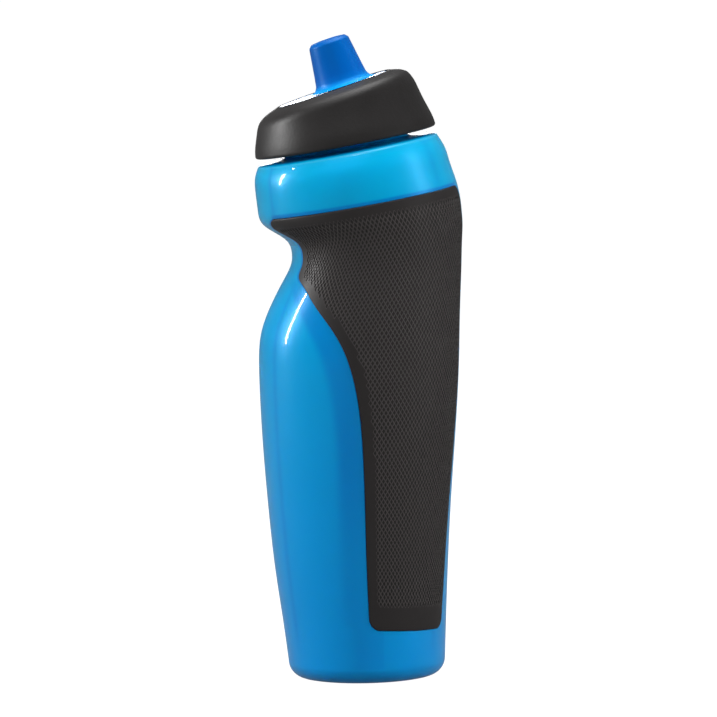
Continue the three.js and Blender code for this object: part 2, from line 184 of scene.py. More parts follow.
# The bottle's skin.
# Ring by ring: height on the axis, front x, front z, back x, back z, half depth.
skinTable = [
    (6.5, -30.7, 6.5, 28.9, 6.5, 29.8),
    (20.5, -32.3, 20.5, 29.6, 20.5, 31),
    (42, -35, 42, 30.8, 42, 33),
    (64, -36.9, 64, 32.3, 64, 34.7),
    (86, -38.3, 86, 34.2, 86, 36.2),
    (104.5, -39, 104, 35.8, 105, 37.3),
    (120, -39.18, 119, 36.8, 121, 37.83),
    (134, -37.9, 132, 37.4, 136, 37.6),
    (144.8, -34, 142, 38, 147.5, 36.8),
    (153.8, -29.5, 150.5, 38.5, 157, 36),
    (161.5, -26, 157.5, 38.9, 165.5, 35.8),
    (166.2, -25.7, 161.5, 39.2, 171, 36),
    (171.1, -27.5, 166.3, 39, 176, 36.6),
    (175.2, -32.5, 169.8, 38.6, 180.5, 37.35),
    (178.6, -36.5, 172.8, 37.9, 184.5, 37.68),
    (183.5, -38.2, 178, 36.7, 189, 37.85),
    (190.2, -38.9, 185, 34.6, 195.5, 37.75),
    (195.5, -38.9, 190.3, 32.9, 200.8, 36.7),
    (199.8, -37.7, 194.1, 30, 205.6, 34.4),
]
# The grip's front and back edges: height, degrees round from the bottle's back.
gripFrontTable = [
    (17, 87),
    (45, 87.5),
    (88, 88.5),
    (106, 90.8),
    (118, 94.3),
    (127.4, 99.2),
    (137.4, 109),
    (147.8, 125.4),
    (153.2, 137),
    (156.2, 145.8),
    (160.4, 148),
    (165.5, 147.5),
    (171, 150),
    (174.8, 155),
    (177.6, 156),
    (180.5, 151),
]
gripBackTable = [(17, 22), (60, 15), (110, 9), (180.5, 8)]

bottleSizes = {
    "axisX": -0.9,
    "wall": 1.4,
    "baseCorner": 6,
    "baseFlatIn": 20,
    "basePushUp": 3,
    "recessDepth": 1.2,
    "recessGap": 0.16,  # between a grip's edge and the edge of its recess
    "neckOuter": 23.2,
    "neckBore": 21.4,
    "neckTop": 14.4,
}
gripSizes = {
    "bottom": 18.6,
    "slant": 4.8,  # how much higher the lower edge is at the front of the bottle
    "top": 180.5,
    "cornerBottom": 4,
    "cornerBack": 5,
    "cornerTip": 2,
    "out": 0.25,
    "under": 0.9,
    "cellWide": 1.6,
    "cellTall": 2.7,
    "ridgeShare": 0.84,  # size of a cell's opening against the cell
    "floorShare": 0.74,  # size of its floor against the opening
    "cellDepth": 0.28,
    "plainFront": 3.6,
    "plainTop": 2.6,
    "plainBottom": 8,
    "plainBack": 2.2,
}


def leanFrame(x, z, degrees):
    return Matrix.Translation((x, 0, z)) @ Matrix.Rotation(math.radians(-degrees), 4, "Y")


neckFrame = leanFrame(-3.9, 200.4, 9.5)
rimFrame = neckFrame @ leanFrame(0, 23.9, 7.8)
spoutFrame = rimFrame @ Matrix.Translation((3.1, 0, 0))


def splineThrough(table):  # natural cubic splines through a table's columns
    table = np.array(table, float)
    at, values = table[:, 0], table[:, 1:]
    step = np.diff(at)
    matrix = np.eye(len(at))
    right = np.zeros_like(values)
    for i in range(1, len(at) - 1):
        matrix[i, i - 1 : i + 2] = step[i - 1], 2 * (step[i - 1] + step[i]), step[i]
        rise = (values[i + 1] - values[i]) / step[i] - (values[i] - values[i - 1]) / step[i - 1]
        right[i] = 6 * rise
    bend = np.linalg.solve(matrix, right)

    def read(where):
        where = np.asarray(where, float)
        i = np.clip(np.searchsorted(at, where) - 1, 0, len(at) - 2)
        h = step[i][..., None]
        a = (at[i + 1] - where)[..., None] / h
        b = 1 - a
        curve = (a**3 - a) * bend[i] + (b**3 - b) * bend[i + 1]
        return a * values[i] + b * values[i + 1] + curve * h**2 / 6

    return read


readSkin = splineThrough(skinTable)
readGripFront = splineThrough(gripFrontTable)
readGripBack = splineThrough(gripBackTable)


def skinPoints(height, angle):
    frontX, frontZ, backX, backZ, depth = np.moveaxis(readSkin(height), -1, 0)
    centreX = (0.5 * (frontX + backX) + bottleSizes["axisX"]) / 2
    cosine = np.cos(angle)
    uneven = (frontX + backX) / 2 - centreX
    x = centreX + ((backX - frontX) / 2 + uneven * cosine * (1.5 - 0.5 * cosine**2)) * cosine
    z = frontZ + (x - frontX) * (backZ - frontZ) / (backX - frontX)
    return np.stack([x, depth * np.sin(angle), z], axis=-1)


def offSkin(height, angle, distance):
    height, angle = np.broadcast_arrays(height, angle)
    around = skinPoints(height, angle + 0.01) - skinPoints(height, angle - 0.01)
    up = skinPoints(height + 0.2, angle) - skinPoints(height - 0.2, angle)
    normal = np.cross(around, up)
    normal /= np.linalg.norm(normal, axis=-1, keepdims=True)
    return skinPoints(height, angle) + normal * np.asarray(distance)[..., None]


def smoothStep(value):
    value = np.clip(value, 0, 1)
    return value * value * (3 - 2 * value)


def slanted(height, angle):  # lifts heights near the grips' lower edge towards the front
    fade = smoothStep((height - 6.5) / 9) * (1 - smoothStep((height - 24) / 60))
    return height + gripSizes["slant"] * fade * (1 - np.cos(angle)) / 2


def cornerInset(radius, distance):  # how far a round corner draws an edge in
    inside = np.clip(radius - distance, 0, radius)
    return radius - np.sqrt(radius**2 - inside**2)


def gripEdges(height, grow=0.0):  # back and front edge in radians, and mm per radian
    low = gripSizes["bottom"] - grow
    high = gripSizes["top"] + grow
    height = np.clip(height, low, high)
    depth = readSkin(height)[..., 4]
    bottomCut = cornerInset(gripSizes["cornerBottom"] + grow, height - low)
    frontCut = bottomCut + cornerInset(gripSizes["cornerTip"] + grow, high - height)
    backCut = bottomCut + cornerInset(gripSizes["cornerBack"] + grow, high - height)
    back = np.radians(readGripBack(height)[..., 0]) + (backCut - grow) / depth
    front = np.radians(readGripFront(height)[..., 0]) - (frontCut - grow) / depth
    return back, front, depth


# Mesh helpers.
def smoothObject(name, points, faces, material=None):
    mesh = bpy.data.meshes.new(name)
    mesh.from_pydata((np.asarray(points, float) * mm).tolist(), [], faces)
    mesh.polygons.foreach_set("use_smooth", [True] * len(mesh.polygons))
    if material:
        mesh.materials.append(material)
    mesh.update()
    made = bpy.data.objects.new(name, mesh)
    bpy.context.scene.collection.objects.link(made)
    return made


def loftFaces(rows, columns, firstPole, lastPole, closedRows=False):
    row = np.arange(rows if closedRows else rows - 1)[:, None]
    column = np.arange(columns)[None, :]
    following = (column + 1) % columns
    low = row * columns
    high = ((row + 1) % rows) * columns
    faces = np.stack([low + column, low + following, high + following, high + column], -1)
    faces = faces.reshape(-1, 4).tolist()
    last = (rows - 1) * columns
    for i in range(columns):
        if firstPole is not None:
            faces.append([firstPole, (i + 1) % columns, i])
        if lastPole is not None:
            faces.append([lastPole, last + i, last + (i + 1) % columns])
    return faces


def fixNormals(piece):
    work = bmesh.new()
    work.from_mesh(piece.data)
    bmesh.ops.remove_doubles(work, verts=work.verts, dist=1e-7)
    bmesh.ops.recalc_face_normals(work, faces=work.faces)
    work.to_mesh(piece.data)
    work.free()
    return piece


# An outline is a list of (radius, height, corner radius); its corners become arcs.
def roundOutline(outline, steps=5):
    rounded = []
    count = len(outline)
    for i, (r, z, corner) in enumerate(outline):
        here = np.array([r, z], float)
        if not corner:
            rounded.append(here)
            continue
        before = np.array(outline[i - 1][:2], float) - here
        after = np.array(outline[(i + 1) % count][:2], float) - here
        lengths = np.linalg.norm(before), np.linalg.norm(after)
        before, after = before / lengths[0], after / lengths[1]
        half = math.acos(np.clip(before @ after, -1, 1)) / 2
        cut = min(corner / math.tan(half), 0.49 * min(lengths))
        for k in range(steps + 1):
            t = k / steps
            start, end = here + before * cut, here + after * cut
            rounded.append((1 - t) ** 2 * start + 2 * t * (1 - t) * here + t**2 * end)
    return np.array(rounded)


def turnedPiece(name, outline, place, material, segments=96, steps=5):
    profile = roundOutline(outline, steps)
    angle = np.linspace(0, 2 * np.pi, segments, endpoint=False)
    r, z = profile[:, 0][:, None], profile[:, 1][:, None]
    points = np.stack(
        [r * np.cos(angle), r * np.sin(angle), z + 0 * angle], axis=-1
    ).reshape(-1, 3)
    faces = loftFaces(len(profile), segments, None, None, closedRows=True)
    piece = smoothObject(name, points, faces, material)
    piece.data.transform(scaledPlace(place))
    return fixNormals(piece)


def scaledPlace(place):  # a frame in millimetres, for a mesh that is already in metres
    scaled = place.copy()
    scaled.translation = place.translation * mm
    return scaled


def placed(points, place):
    points = np.asarray(points, float)
    matrix = np.array(place)
    return points @ matrix[:3, :3].T + matrix[:3, 3]


def joinPieces(name, pieces):
    bpy.ops.object.select_all(action="DESELECT")
    for piece in pieces:
        piece.select_set(True)
    bpy.context.view_layer.objects.active = pieces[0]
    bpy.ops.object.join()
    pieces[0].name = name
    pieces[0].data.name = name
    return pieces[0]


def finishPiece(piece, body, slotName, *nodes):
    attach(piece, body)
    if nodes:
        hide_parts(*nodes)
    print(" ", piece.name, len(piece.data.polygons), "faces")


# Materials.
def objectPosition(tree, turn=0.0):  # Object coordinates, turned about Y to a leaning axis
    source = addNode(tree, "ShaderNodeTexCoord").outputs["Object"]
    rotation = (0, math.radians(turn), 0)
    mapping = {"vector_type": "POINT"}
    return addNode(
        tree, "ShaderNodeMapping", mapping, Vector=source, Rotation=rotation
    ).outputs["Vector"]


def attribute(tree, name):
    return addNode(tree, "ShaderNodeAttribute", {"attribute_name": name}).outputs["Fac"]


def noiseAt(tree, position, scale, detail):
    noise = addNode(tree, "ShaderNodeTexNoise", Vector=position, Scale=scale, Detail=detail)
    return noise.outputs["Fac"]


def colourRamp(tree, factor, stops):
    ramp = addNode(tree, "ShaderNodeValToRGB", Fac=factor)
    while len(ramp.color_ramp.elements) < len(stops):
        ramp.color_ramp.elements.new(0.5)
    for element, (place, colour) in zip(ramp.color_ramp.elements, stops):
        element.position = place
        element.color = (*colour, 1)
    return ramp.outputs["Color"]


def roughnessNoise(tree, position, scale, low, high):
    return mapRange(tree, noiseAt(tree, position, scale, 4.0), 0.3, 0.7, low, high)


def fineBump(tree, position, scale, strength, distance):
    height = noiseAt(tree, position, scale, 3.0)
    bump = addNode(tree, "ShaderNodeBump", Height=height, Strength=strength, Distance=distance)
    return bump.outputs["Normal"]


def separateZ(tree, position):
    return addNode(tree, "ShaderNodeSeparateXYZ", Vector=position).outputs["Z"]


subsurfaceRadius = (0.3, 0.7, 1.0)  # blue light goes furthest in the plastic

bluePlastic = {
    # low, middle and high: painted shade, darker lower down and lighter towards the shoulder, as if
    # lit from above
    "low": (0.0003, 0.32, 0.74),
    "middle": (0.0003, 0.36, 0.71),
    "high": (0.0003, 0.43, 0.71),
    # painted shade and painted highlight colours, mixed in by marks stored on the body's mesh
    "paintedShade": (0.0002, 0.17, 0.56),
    "paintedHighlight": (0.1, 0.62, 0.95),
    "roughness": (0.28, 0.36),
    "transmission": 0.5,
    "ior": 1.5,
    "specular": 0.22,
    "specularTint": (0.02, 0.45, 1.0),
    "subsurface": 0.2,
    "coat": 0.28,
    "coatRoughness": 0.05,
}


def squeezePlastic():  # soft translucent blue polyethylene, with painted shade making it deeper in colour lower down
    material, tree = newMaterial("squeezePlastic")
    position = objectPosition(tree)
    drift = mapRange(tree, noiseAt(tree, position, 18.0, 2.0), 0.3, 0.7, -0.05, 0.05)
    # painted shade: the colour ramps from deeper low down to lighter high up, as if lit from above
    rise = mapRange(tree, separateZ(tree, position), 0.0, 0.21, 0.0, 1.0)
    stops = [(0, bluePlastic["low"]), (0.55, bluePlastic["middle"]), (1, bluePlastic["high"])]
    colour = colourRamp(tree, mathNode(tree, "ADD", rise, drift), stops)
    # mixes in the painted shade and the painted highlight stored on the body's mesh
    for name, tint in (("paintedShadeMask", "paintedShade"), ("paintedHighlightMask", "paintedHighlight")):
        blend = addNode(tree, "ShaderNodeMix", {"data_type": "RGBA"})
        # sockets 0, 6 and 7 are the factor and the two colours
        feed(tree, blend.inputs[0], attribute(tree, name))
        feed(tree, blend.inputs[6], colour)
        feed(tree, blend.inputs[7], (*bluePlastic[tint], 1))
        colour = blend.outputs[2]
    setShader(
        tree,
        Base_Color=colour,
        Roughness=roughnessNoise(tree, position, 60.0, *bluePlastic["roughness"]),
        Normal=fineBump(tree, position, 240.0, 0.05, 0.0004),
        IOR=bluePlastic["ior"],
        Specular_IOR_Level=bluePlastic["specular"],
        Specular_Tint=(*bluePlastic["specularTint"], 1),
        Transmission_Weight=bluePlastic["transmission"],
        Subsurface_Weight=bluePlastic["subsurface"],
        Subsurface_Radius=subsurfaceRadius,
        Subsurface_Scale=0.004,
        Coat_Weight=bluePlastic["coat"],
        Coat_Roughness=bluePlastic["coatRoughness"],
    )
    return material


gripRubberLook = {
    "plain": (0.0125, 0.011, 0.011),
    # ridge: painted highlight, the crests between the cells are painted lighter than the plain
    # rubber
    "ridge": (0.05, 0.0455, 0.045),
    "cell": (0.013, 0.012, 0.012),
    "roughness": (0.48, 0.62),
}


def gripRubber():
    material, tree = newMaterial("gripRubber")
    position = objectPosition(tree)
    colours = [gripRubberLook[key] for key in ("plain", "ridge", "cell")]
    # cellDepth marks the pits and the crests; the crests get a painted highlight
    depth = attribute(tree, "cellDepth")
    setShader(
        tree,
        Base_Color=colourRamp(tree, depth, list(zip((0, 0.5, 1), colours))),
        Roughness=roughnessNoise(tree, position, 90.0, *gripRubberLook["roughness"]),
        Normal=fineBump(tree, position, 900.0, 0.12, 0.0003),
        Specular_IOR_Level=0.35,
    )
    return material


def plainPlastic(
    name, colour, roughness, specks=0.0, bumpScale=500.0, bump=0.06, coat=0.0, specular=0.5
):
    material, tree = newMaterial(name)
    position = objectPosition(tree)
    dark = tuple(channel * (0.9 - specks) for channel in colour)
    bright = tuple(min(1, channel * (1.08 + specks)) for channel in colour)
    stops = [(0.3, dark), (0.7, bright)]
    setShader(
        tree,
        Base_Color=colourRamp(tree, noiseAt(tree, position, 45.0, 5.0), stops),
        Roughness=roughnessNoise(tree, position, 70.0, *roughness),
        Normal=fineBump(tree, position, bumpScale, bump, 0.0003),
        Specular_IOR_Level=specular,
        Coat_Weight=coat,
        Coat_Roughness=0.15,
    )
    return material


spoutLook = {
    # foot: painted highlight on the flared foot
    "foot": (0.001, 0.24, 0.58),
    "middle": (0.0005, 0.09, 0.32),
    "tip": (0.0003, 0.065, 0.26),
    "roughness": (0.3, 0.42),
    "lean": 17.3,  # degrees, the lean of the neck and the rim together
}


def spoutPlastic():  # deep blue, with a painted highlight: paler towards the flared foot
    material, tree = newMaterial("spoutPlastic")
    position = objectPosition(tree, spoutLook["lean"])
    foot = (spoutFrame.inverted() @ Vector((0, 0, 0))).z * -mm
    height = mapRange(tree, separateZ(tree, position), foot - 0.0005, foot + 0.0045, 0.0, 1.0)
    colours = [spoutLook[key] for key in ("foot", "middle", "tip")]
    setShader(
        tree,
        Base_Color=colourRamp(tree, height, list(zip((0, 0.5, 1), colours))),
        Roughness=roughnessNoise(tree, position, 80.0, *spoutLook["roughness"]),
        Normal=fineBump(tree, position, 300.0, 0.05, 0.0003),
        Specular_IOR_Level=0.3,
        Specular_Tint=(0.1, 0.5, 1, 1),
        Subsurface_Weight=0.2,
        Subsurface_Radius=subsurfaceRadius,
        Subsurface_Scale=0.002,
    )
    return material


bottlePlastic = squeezePlastic()
rubberBlack = gripRubber()
capPlastic = plainPlastic(
    "capPlastic", (0.0095, 0.0088, 0.0088), (0.42, 0.52), 0.05, 800.0, 0.2, 0.0, 0.3
)
corePlastic = plainPlastic(
    "corePlastic", (0.002, 0.22, 0.6), (0.18, 0.28), 0.0, 300.0, 0.04, 0.6, 0.3
)
sealRubber = plainPlastic("sealRubber", (0.6, 0.61, 0.62), (0.5, 0.65), 0.0, 600.0, 0.08)
postPlastic = plainPlastic("postPlastic", (0.74, 0.76, 0.78), (0.3, 0.42), 0.0, 400.0, 0.04)
sleeveRubber = spoutPlastic()
print("materials ready")


# Geometry node trees.
def nodeTree(name, inputs):
    tree = bpy.data.node_groups.new(name, "GeometryNodeTree")
    tree.interface.new_socket("Geometry", in_out="INPUT", socket_type="NodeSocketGeometry")
    for label, kind in inputs.items():
        tree.interface.new_socket(label, in_out="INPUT", socket_type="NodeSocket" + kind)
    tree.interface.new_socket("Geometry", in_out="OUTPUT", socket_type="NodeSocketGeometry")
    return tree, addNode(tree, "NodeGroupInput").outputs


def closeTree(tree, geometry, material):
    real = addNode(tree, "GeometryNodeRealizeInstances", Geometry=geometry).outputs[0]
    paint = addNode(tree, "GeometryNodeSetMaterial", Geometry=real, Material=material)
    addNode(tree, "NodeGroupOutput", Geometry=paint.outputs["Geometry"])
    return tree


def runTree(piece, tree, values):  # runs the tree on a piece and keeps its plain mesh
    modifier = piece.modifiers.new(tree.name, "NODES")
    modifier.node_group = tree
    for item in tree.interface.items_tree:
        if item.in_out == "INPUT" and item.name in values:
            modifier[item.identifier] = values[item.name]
    piece.update_tag()
    graph = bpy.context.evaluated_depsgraph_get()
    result = bpy.data.meshes.new_from_object(piece.evaluated_get(graph))
    piece.modifiers.remove(modifier)
    piece.data = result
    result.name = piece.name
    return piece


def texturedGripTree():  # presses a pit into every face marked as a cell
    inputs = {"Opening": "Float", "Floor": "Float", "Depth": "Float", "Rubber": "Material"}
    tree, given = nodeTree("gripCells", inputs)
    faces = {"mode": "FACES"}
    marked = addNode(tree, "GeometryNodeInputNamedAttribute", {"data_type": "BOOLEAN"}, Name="cell")
    rim = addNode(
        tree, "GeometryNodeExtrudeMesh", faces, Mesh=given["Geometry"],
        Selection=marked.outputs["Attribute"], Offset_Scale=0, Individual=True,
    ).outputs
    wide = addNode(
        tree, "GeometryNodeScaleElements", {"domain": "FACE"}, Geometry=rim["Mesh"],
        Selection=rim["Top"], Scale=given["Opening"],
    ).outputs["Geometry"]
    pit = addNode(
        tree, "GeometryNodeExtrudeMesh", faces, Mesh=wide, Selection=rim["Top"],
        Offset_Scale=mathNode(tree, "MULTIPLY", given["Depth"], -1), Individual=True,
    ).outputs
    floor = addNode(
        tree, "GeometryNodeScaleElements", {"domain": "FACE"}, Geometry=pit["Mesh"],
        Selection=pit["Top"], Scale=given["Floor"],
    ).outputs["Geometry"]
    pitted = mathNode(tree, "MAXIMUM", pit["Top"], pit["Side"])
    # painted highlight mask: the crests between cells get 0.5, which the rubber paints lighter
    ridge = mathNode(tree, "MULTIPLY", rim["Side"], 0.5)
    mark = addNode(
        tree, "GeometryNodeStoreNamedAttribute", {"data_type": "FLOAT", "domain": "FACE"},
        Geometry=floor, Name="cellDepth", Value=mathNode(tree, "MAXIMUM", pitted, ridge),
    )
    return closeTree(tree, mark.outputs["Geometry"], given["Rubber"])


def threadTree():  # a helical ridge: a rounded profile swept along a spiral, thin at its ends
    inputs = dict.fromkeys(("Turns", "Radius", "Lead", "Width", "Height"), "Float")
    tree, given = nodeTree("threadRidge", {**inputs, "Plastic": "Material"})
    spiral = addNode(
        tree, "GeometryNodeCurveSpiral", Resolution=72, Rotations=given["Turns"],
        Start_Radius=given["Radius"], End_Radius=given["Radius"],
        Height=mathNode(tree, "MULTIPLY", given["Lead"], given["Turns"]),
    ).outputs["Curve"]
    upright = addNode(tree, "GeometryNodeSetCurveNormal", {"mode": "Z_UP"}, Curve=spiral)
    along = addNode(tree, "GeometryNodeSplineParameter").outputs["Factor"]
    grown = addNode(
        tree, "ShaderNodeMapRange", {"interpolation_type": "SMOOTHSTEP"},
        Value=mathNode(tree, "PINGPONG", along, 0.5), From_Max=0.06, To_Min=0.15,
    ).outputs["Result"]
    section = addNode(
        tree, "GeometryNodeCurvePrimitiveQuadrilateral", {"mode": "RECTANGLE"},
        Width=given["Height"], Height=given["Width"],
    ).outputs["Curve"]
    soft = addNode(
        tree, "GeometryNodeFilletCurve", {"mode": "POLY"}, Curve=section, Count=3, Radius=0.00045
    ).outputs["Curve"]
    sweep = addNode(
        tree, "GeometryNodeCurveToMesh", Curve=upright.outputs["Curve"], Profile_Curve=soft,
        Scale=grown, Fill_Caps=True,
    )
    return closeTree(tree, sweep.outputs["Mesh"], given["Plastic"])


def ringOfCopiesTree():  # copies of a piece turned evenly about Z
    tree, given = nodeTree("ringOfCopies", {"Count": "Int", "Plastic": "Material"})
    points = addNode(tree, "GeometryNodePoints", Count=given["Count"]).outputs[0]
    index = addNode(tree, "GeometryNodeInputIndex").outputs["Index"]
    share = mathNode(tree, "DIVIDE", index, given["Count"])
    turn = mathNode(tree, "MULTIPLY", share, 2 * math.pi)
    copies = addNode(
        tree, "GeometryNodeInstanceOnPoints", Points=points, Instance=given["Geometry"],
        Rotation=addNode(tree, "ShaderNodeCombineXYZ", Z=turn).outputs[0],
    )
    return closeTree(tree, copies.outputs["Instances"], given["Plastic"])


# The bottle.
bottleMesh = {
    "edgeOffsets": [-1.6, -0.9, -0.45, -0.2, 0, 0.12, 0.25, 0.4, 0.8, 1.6],  # about a recess edge
    "backColumns": 8,
    "middleColumns": 22,
    "frontColumns": 54,
    "rowStep": 1.5,
    "innerRows": 60,
    "edgeRound": 0.32,
}


def bottleAngles(height):  # one half ring's columns, crowded along the recess edges
    back, front, depth = gripEdges(height, bottleSizes["recessGap"])
    offsets = np.array(bottleMesh["edgeOffsets"])
    backEdge = back[:, None] + offsets / depth[:, None]
    frontEdge = front[:, None] - offsets[::-1] / depth[:, None]

    def between(start, end, count, power=1.0):
        share = np.linspace(0, 1, count + 2)[1:-1] ** power
        return start[:, None] + (end - start)[:, None] * share

    nothing = np.zeros(len(height))
    half = nothing + math.pi
    return np.concatenate(
        [
            nothing[:, None],
            between(nothing, backEdge[:, 0], bottleMesh["backColumns"]),
            backEdge,
            between(backEdge[:, -1], frontEdge[:, 0], bottleMesh["middleColumns"]),
            frontEdge,
            between(frontEdge[:, -1], half, bottleMesh["frontColumns"]),
            half[:, None],
        ],
        axis=1,
    )


def insideRecess(height, angle):  # distance inside the recess outline, negative outside
    grow = bottleSizes["recessGap"]
    back, front, depth = gripEdges(height, grow)
    side = np.minimum(front[:, None] - angle, angle - back[:, None]) * depth[:, None]
    end = np.minimum(height - gripSizes["bottom"] + grow, gripSizes["top"] + grow - height)
    return np.minimum(side, end[:, None])


def wholeRing(half):  # mirrors a half ring's (rows, columns, 3) points to a closed ring
    other = half[:, -2:0:-1].copy()
    other[..., 1] *= -1
    return np.concatenate([half, other], axis=1)


def bottleRows():
    low, high = skinTable[0][0], skinTable[-1][0]
    rows = list(np.arange(low, 130, 2 * bottleMesh["rowStep"]))
    rows += list(np.arange(130, high, bottleMesh["rowStep"])) + [high]
    grow = bottleSizes["recessGap"]
    for edge, inward in ((gripSizes["bottom"] - grow, 1), (gripSizes["top"] + grow, -1)):
        rows = [row for row in rows if not -1.7 < (row - edge) * inward < 5]
        rows += [edge + inward * offset for offset in bottleMesh["edgeOffsets"]]
        rows += [edge + inward * offset for offset in (2.3, 3.2, 4.2)]
        rows += [edge + inward * offset for offset in (0.03, 0.06, 0.18)]
    return np.array(sorted(rows))


def bottleWalls():
    heights = bottleRows()
    angles = bottleAngles(heights)
    recess = smoothStep(insideRecess(heights, angles) / bottleMesh["edgeRound"])
    level = slanted(heights[:, None], angles)
    outer = wholeRing(offSkin(level, angles, -bottleSizes["recessDepth"] * recess))

    wall = bottleSizes["wall"]
    top = skinTable[-1][0] - 1.2 * wall
    innerHeights = np.linspace(skinTable[0][0], top, bottleMesh["innerRows"])
    innerAngles = bottleAngles(innerHeights)
    behind = smoothStep((insideRecess(innerHeights, innerAngles) + 3) / 4)
    innerOffset = -wall - bottleSizes["recessDepth"] * behind
    level = slanted(innerHeights[:, None], innerAngles)
    inner = wholeRing(offSkin(level, innerAngles, innerOffset))
    return outer, inner, paintedWallLight(heights, angles)


def paintedWallLight(heights, angles):  # painted shade and highlight on the body's wall: the far grip and the wall's refraction painted darker blue, and a painted highlight on the shoulder's top edge
    back, front, depth = gripEdges(heights)
    height, depth = heights[:, None], depth[:, None]
    # painted shade: a darker band beside the grip's front edge, standing in for the far grip seen
    # through the wall
    beside = (angles - front[:, None]) * depth
    paintedGripShade = (beside > -1) * (1 - smoothStep((beside - 7.5) / 4.5))
    paintedGripShade = paintedGripShade * (0.35 + 0.65 * smoothStep((height - 30) / 60))
    paintedGripShade = paintedGripShade * (1 - smoothStep((height - 148) / 10))
    # painted shade: a dark line just outside the recess's edge, high on the body
    outside = -insideRecess(heights, angles)
    edge = smoothStep((height - 136) / 20) * (1 - smoothStep((outside - 0.9) / 0.9))
    # painted shade: two faint dark lines near the outline, standing in for the wall's refraction
    paintedRefractionLines = np.exp(-(((angles - math.radians(147)) * depth / 1.3) ** 2)) * 0.36
    paintedRefractionLines += np.exp(-(((angles - math.radians(33)) * depth / 1.3) ** 2)) * 0.36
    paintedRefractionLines = paintedRefractionLines * smoothStep((height - 8) / 10)
    paintedShade = np.clip(np.maximum(np.maximum(paintedGripShade * 0.55, edge * 0.8), paintedRefractionLines), 0, 1)
    # painted highlight along the shoulder's top edge
    paintedHighlight = 0.4 * smoothStep((height - 198.9) / 0.6) + 0 * angles
    return paintedShade, paintedHighlight


def baseRings(lowest, inset):  # from the side wall's lowest ring in to the middle of the base
    z = lowest[0, 2]
    rings = []
    centre = np.array([bottleSizes["axisX"], 0, 0])
    flat = lowest - centre
    radius = np.linalg.norm(flat[:, :2], axis=1)
    for bend in np.linspace(8, 90, 12):
        pull = bottleSizes["baseCorner"] * (1 - math.cos(math.radians(bend)))
        ring = flat * ((1 - pull / radius)[:, None])
        ring[:, 2] = z - (z - inset) * math.sin(math.radians(bend))
        rings.append(ring + centre)
    edge = rings[-1] - centre
    edgeRadius = np.linalg.norm(edge[:, :2], axis=1).mean()
    flatIn = bottleSizes["baseFlatIn"]
    for r in (22.6, 21.2, flatIn, 19.3, 18.4, 17, 15, 12.5, 10, 7.5, 5, 2.5):
        ring = edge * (r / edgeRadius)
        rise = smoothStep((flatIn - r) / 9) * 0.8
        dome = 0.2 * max(0, 1 - (r / flatIn) ** 2)
        ring[:, 2] = inset + bottleSizes["basePushUp"] * (rise + dome)
        rings.append(ring + centre)
    return rings, centre + np.array([0, 0, inset + bottleSizes["basePushUp"]])


def neckRings(rim):  # shoulder top, neck, lip and bore, from the shoulder's rim ring
    local = placed(rim, neckFrame.inverted())
    radius = np.linalg.norm(local[:, :2], axis=1)
    direction = local[:, :2] / radius[:, None]
    outer, bore, top = (bottleSizes[key] for key in ("neckOuter", "neckBore", "neckTop"))
    startZ = local[:, 2]
    rings = []

    def add(share, z, blend=1.0):
        r = radius * (1 - share) + outer * share
        height = startZ * (1 - blend) + z * blend
        points = np.concatenate([direction * r[:, None], height[:, None]], axis=1)
        rings.append(placed(points, neckFrame))

    reach = radius.mean() - outer
    for pull, z, blend in (
        (0.22, -0.38, 0.6), (0.55, -0.16, 0.9), (0.95, 0.0, 1), (1.5, 0.13, 1), (2.4, 0.26, 1),
        (4, 0.38, 1), (6, 0.5, 1), (8, 0.62, 1), (9.3, 0.74, 1), (10.1, 0.95, 1),
        (10.6, 1.25, 1), (10.9, 1.7, 1),
    ):
        add(min(1, pull / reach), z, blend)
    for z in (2.4, 5, 8, 11, top - 1.0, top - 0.6):
        add(1, z)
    circle = [(outer - 0.12, top - 0.25), (outer - 0.4, top - 0.05), (outer - 0.7, top)]
    circle += [(bore + 0.5, top), (bore + 0.2, top - 0.06), (bore + 0.04, top - 0.25)]
    circle += [(bore, top - 0.6), (bore, 10), (bore, 5), (bore, 1), (bore, -0.6)]
    circle += [(bore + 0.15, -0.95), (bore + 0.6, -1.25), (bore + 2, -1.4), (bore + 6, -1.5)]
    for r, z in circle:
        points = np.concatenate([direction * r, np.full((len(direction), 1), z)], axis=1)
        rings.append(placed(points, neckFrame))
    return rings


def makeBottle():
    outer, inner, (paintedShade, paintedHighlight) = bottleWalls()
    underneath, outerPole = baseRings(outer[0], 0)
    floor, innerPole = baseRings(inner[0], bottleSizes["wall"])
    neck = neckRings(outer[-1])
    neckRows = len(neck) - 2
    rings = underneath[::-1] + list(outer) + neck + list(inner[::-1]) + floor
    columns = outer.shape[1]
    points = np.concatenate([np.array(rings).reshape(-1, 3), [outerPole, innerPole]])
    count = len(rings) * columns
    faces = loftFaces(len(rings), columns, count, count + 1)
    body = smoothObject("bottleBody", points, faces, bottlePlastic)
    first = len(underneath) * columns
    # stores the painted shade and painted highlight marks for the body's material
    for name, tint in (("paintedShadeMask", paintedShade), ("paintedHighlightMask", paintedHighlight)):
        values = np.zeros(len(points))
        whole = np.concatenate([tint, tint[:, -2:0:-1]], axis=1)
        values[first : first + whole.size] = whole.ravel()
        if name == "paintedShadeMask":  # painted shade: the neck in the gap under the cap is tinted deeper blue
            start = first + whole.size + 2 * columns
            values[start : start + neckRows * columns] = 0.6
        body.data.attributes.new(name, "FLOAT", "POINT").data.foreach_set("value", values)
    return fixNormals(body)


threadSizes = {"lead": 5, "first": 5, "neckTurns": 1.5, "coreTurns": 1.1}


